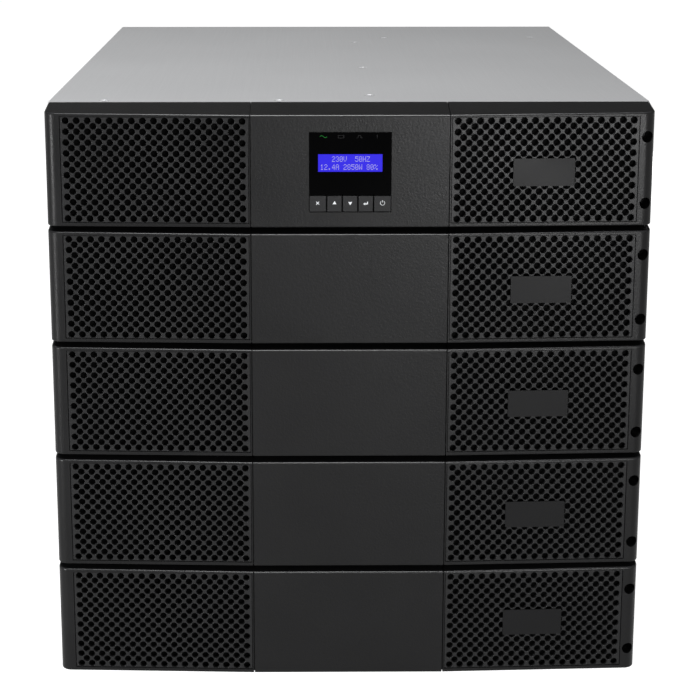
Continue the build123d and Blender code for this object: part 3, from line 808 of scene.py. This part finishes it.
class UPS_OT_build_cover_screws(Piece, bpy.types.Operator):
    """Screws on the top cover and on the flanks of every cover"""

    bl_idname = "ups.build_cover_screws"
    bl_label = "Build cover screws"

    def execute(self, context):
        fittings = self.fittings
        steel, tree, shader = new_material("screw_steel", 0.32, metallic=1.0)
        surface = group_node(tree, "surface_grain", grain_group, grain_size=0.0004, patch_size=0.004)
        varied(tree, shader, (0.62, 0.62, 0.63), surface.outputs["Patch"], 0.15)
        bm = bmesh.new()
        for x, back in COVER_SCREWS:
            place = Matrix.Translation((x, cad_box[0][1] + back, COVER_HIGH.z - SHEET))
            add_screw(bm, place, fittings.cover_screw, fittings.head_height)
        for module in MODULES:
            low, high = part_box(f"{module}_cover")
            for y in FLANK_SCREWS:
                for x, way in ((low.x + SHEET, -1), (high.x - SHEET, 1)):
                    turn = Matrix.Rotation(way * pi / 2, 4, "Y")
                    place = Matrix.Translation((x, y, low.z + FLANK_SCREW_RISE)) @ turn
                    add_screw(bm, place, fittings.cover_screw, fittings.head_height)
        finish_piece("cover_screws", bm, steel, "root")
        return {"FINISHED"}


class UPS_OT_build_rear_screws(Piece, bpy.types.Operator):
    """Screws of the rear panel, the fans, the slot plate and the battery modules"""

    bl_idname = "ups.build_rear_screws"
    bl_label = "Build rear screws"

    def execute(self, context):
        fittings = self.fittings
        black, tree, shader = new_material("black_screws", 0.35, metallic=0.6)
        surface = group_node(tree, "surface_grain", grain_group, grain_size=0.0004, patch_size=0.004)
        varied(tree, shader, (0.05, 0.05, 0.052), surface.outputs["Patch"], 0.2)
        bm = bmesh.new()
        radius = fittings.panel_screw
        for x, z, y in self.places():
            place = Matrix.Translation((x, y, z)) @ Matrix.Rotation(-pi / 2, 4, "X")
            add_screw(bm, place, radius, fittings.head_height)
        finish_piece("rear_screws", bm, black, "root")
        return {"FINISHED"}

    def places(self):
        """Points on the rear faces, as x, z and y."""
        inset = 0.007
        found = []
        back = PANEL_HIGH.y
        for module in MODULES:
            low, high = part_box(f"{module}_case")
            level = (low.z, COVER_HIGH.z - COVER_LOW.z + low.z)
            for x in (low.x + inset, high.x - inset):
                found += [(x, level[0] + inset, back), (x, level[1] - inset, back)]
        low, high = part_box("slot_cover")
        for x in (low.x + inset / 1.4, high.x - inset / 1.4):
            found.append((x, (low.z + high.z) / 2, high.y))
        low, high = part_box("fan_frames")
        size = high.z - low.z
        for first in (low.x, high.x - size):
            for x in (first + 0.004, first + size - 0.004):
                found += [(x, low.z + 0.004, back), (x, high.z - 0.004, back)]
        return found


class UPS_OT_finish_sockets(Piece, bpy.types.Operator):
    """Black moulded sockets and the plated port"""

    bl_idname = "ups.finish_sockets"
    bl_label = "Finish sockets"

    def execute(self, context):
        wear(plastic("socket_moulding", (0.009, 0.009, 0.0095), 0.42), "outlets", "inlet", "battery_sockets")
        wear(coated_sheet("port_plating", (0.55, 0.55, 0.56), 0.35), "data_port")
        return {"FINISHED"}


class UPS_OT_finish_fans(Piece, bpy.types.Operator):
    """Moulded fans and their plated wire guards"""

    bl_idname = "ups.finish_fans"
    bl_label = "Finish fans"

    def execute(self, context):
        wear(plastic("fan_moulding", (0.007, 0.007, 0.0075), 0.48), "fan_frames", "fan_rotors")
        wear(coated_sheet("guard_plating", (0.66, 0.66, 0.67), 0.26), "fan_guards")
        return {"FINISHED"}


class UPS_OT_set_stage(Piece, bpy.types.Operator):
    """Floor, even surround, lamps and the camera"""

    bl_idname = "ups.set_stage"
    bl_label = "Set stage"

    def execute(self, context):
        stage = context.scene.ups_stage
        self.add_floor(stage.lift)
        self.light_surround(stage.surround, stage.ceiling)
        for lamp in LAMPS:
            self.add_lamp(*lamp)
        self.add_camera(stage)
        context.scene.view_settings.view_transform = "Standard"
        return {"FINISHED"}

    def add_floor(self, lift):
        """Pale floor that the picture shows white, with the stack's soft shadow kept."""
        bm = bmesh.new()
        bmesh.ops.create_grid(bm, x_segments=1, y_segments=1, size=FLOOR_REACH)
        mesh = bpy.data.meshes.new("floor")
        bm.to_mesh(mesh)
        bm.free()
        floor = bpy.data.objects.new("floor", mesh)
        bpy.context.scene.collection.objects.link(floor)
        material, tree, shader = new_material("pale_floor", 0.9)
        shader.inputs["Base Color"].default_value = (FLOOR_TONE, FLOOR_TONE, FLOOR_TONE, 1)
        shader.inputs["Specular IOR Level"].default_value = 0
        shader.inputs["Emission Color"].default_value = (1, 1, 1, 1)
        path = node(tree, "ShaderNodeLightPath")
        mirrored = math_node(tree, "ADD", path.outputs["Is Glossy Ray"], path.outputs["Is Transmission Ray"])
        dimmer = math_node(tree, "MULTIPLY", mirrored, FLOOR_IN_REFLECTIONS)
        seen = math_node(tree, "ADD", path.outputs["Is Camera Ray"], dimmer)
        tree.links.new(math_node(tree, "MULTIPLY", seen, lift), shader.inputs["Emission Strength"])
        mesh.materials.append(material)

    def light_surround(self, strength, ceiling):
        """Even light all round; the picture, gloss and glass see it white down by the horizon."""
        world = bpy.data.worlds.new("studio")
        bpy.context.scene.world = world
        world.use_nodes = True
        tree = world.node_tree
        background = tree.nodes["Background"]
        background.inputs["Color"].default_value = (1, 1, 1, 1)
        path = node(tree, "ShaderNodeLightPath")
        place = node(tree, "ShaderNodeTexCoord")
        split = node(tree, "ShaderNodeSeparateXYZ")
        tree.links.new(place.outputs["Generated"], split.inputs["Vector"])
        fade = node(tree, "ShaderNodeMapRange", interpolation_type="SMOOTHSTEP")
        fade.inputs["From Min"].default_value = 0.10
        fade.inputs["From Max"].default_value = 0.30
        fade.inputs["To Min"].default_value = 1.0
        fade.inputs["To Max"].default_value = ceiling
        tree.links.new(split.outputs["Z"], fade.inputs["Value"])
        across = node(tree, "ShaderNodeMapRange")
        across.inputs["From Min"].default_value = -0.25
        across.inputs["From Max"].default_value = 0.25
        across.inputs["To Min"].default_value = 1.25
        across.inputs["To Max"].default_value = 0.65
        turned = math_node(tree, "MULTIPLY", split.outputs["X"], split.outputs["Y"])
        tree.links.new(turned, across.inputs["Value"])
        mirrored = math_node(tree, "MULTIPLY", fade.outputs["Result"], across.outputs["Result"])
        gloss = math_node(tree, "MULTIPLY", path.outputs["Is Glossy Ray"], mirrored)
        matt = math_node(tree, "SUBTRACT", 1.0, path.outputs["Is Glossy Ray"])
        mixed = math_node(tree, "ADD", gloss, math_node(tree, "MULTIPLY", matt, strength))
        seen = math_node(tree, "MAXIMUM", path.outputs["Is Camera Ray"], path.outputs["Is Transmission Ray"])
        tree.links.new(math_node(tree, "MAXIMUM", seen, mixed), background.inputs["Strength"])

    def add_lamp(self, name, place, target, width, height, power):
        """Adds a rectangular area lamp aimed at a point."""
        data = bpy.data.lights.new(name, "AREA")
        data.shape = "RECTANGLE"
        data.size = width
        data.size_y = height
        data.energy = power
        lamp = bpy.data.objects.new(name, data)
        bpy.context.scene.collection.objects.link(lamp)
        lamp.visible_camera = False
        lamp.location = place
        lamp.rotation_euler = (Vector(target) - Vector(place)).to_track_quat("-Z", "Y").to_euler()

    def add_camera(self, stage):
        """Adds the camera of the photograph's view."""
        data = bpy.data.cameras.new("camera")
        data.sensor_width = 36
        data.lens = stage.focal / PHOTO_WIDTH * data.sensor_width
        data.shift_x = stage.shift_x
        data.shift_y = stage.shift_y
        camera = bpy.data.objects.new("camera", data)
        bpy.context.scene.collection.objects.link(camera)
        camera.location = (stage.aside, cad_box[0].y - stage.distance, stage.height)
        camera.rotation_euler = (pi / 2 - stage.pitch, 0, stage.yaw)
        bpy.context.scene.camera = camera


OPERATORS = (
    UPS_OT_finish_cases,
    UPS_OT_finish_covers,
    UPS_OT_finish_bezels,
    UPS_OT_finish_grilles,
    UPS_OT_finish_badges,
    UPS_OT_finish_display,
    UPS_OT_build_readout,
    UPS_OT_build_indicators,
    UPS_OT_finish_keys,
    UPS_OT_build_cover_screws,
    UPS_OT_build_rear_screws,
    UPS_OT_finish_sockets,
    UPS_OT_finish_fans,
    UPS_OT_set_stage,
)


class UPS_PT_sidebar(bpy.types.Panel):
    """Lists the operators and the settings"""

    bl_idname = "UPS_PT_sidebar"
    bl_label = "Power supply"
    bl_space_type = "VIEW_3D"
    bl_region_type = "UI"
    bl_category = "Power supply"

    def draw(self, context):
        for operator in OPERATORS:
            self.layout.operator(operator.bl_idname)
        for group, name in GROUPS:
            box = self.layout.box()
            for setting in group.__annotations__:
                box.prop(getattr(context.scene, name), setting)


GROUPS = (
    (UPS_PG_finishes, "ups_finishes"),
    (UPS_PG_fittings, "ups_fittings"),
    (UPS_PG_stage, "ups_stage"),
)


def register():
    """Registers the settings, the operators and the panel."""
    for group, name in GROUPS:
        bpy.utils.register_class(group)
        setattr(bpy.types.Scene, name, PointerProperty(type=group))
    for operator in OPERATORS:
        bpy.utils.register_class(operator)
    bpy.utils.register_class(UPS_PT_sidebar)


def unregister():
    """Takes back what register made."""
    bpy.utils.unregister_class(UPS_PT_sidebar)
    for operator in reversed(OPERATORS):
        bpy.utils.unregister_class(operator)
    for group, name in reversed(GROUPS):
        delattr(bpy.types.Scene, name)
        bpy.utils.unregister_class(group)


def main():
    """Builds everything."""
    register()
    for operator in OPERATORS:
        family, name = operator.bl_idname.split(".")
        getattr(getattr(bpy.ops, family), name)()


if __name__ == "__main__":
    main()
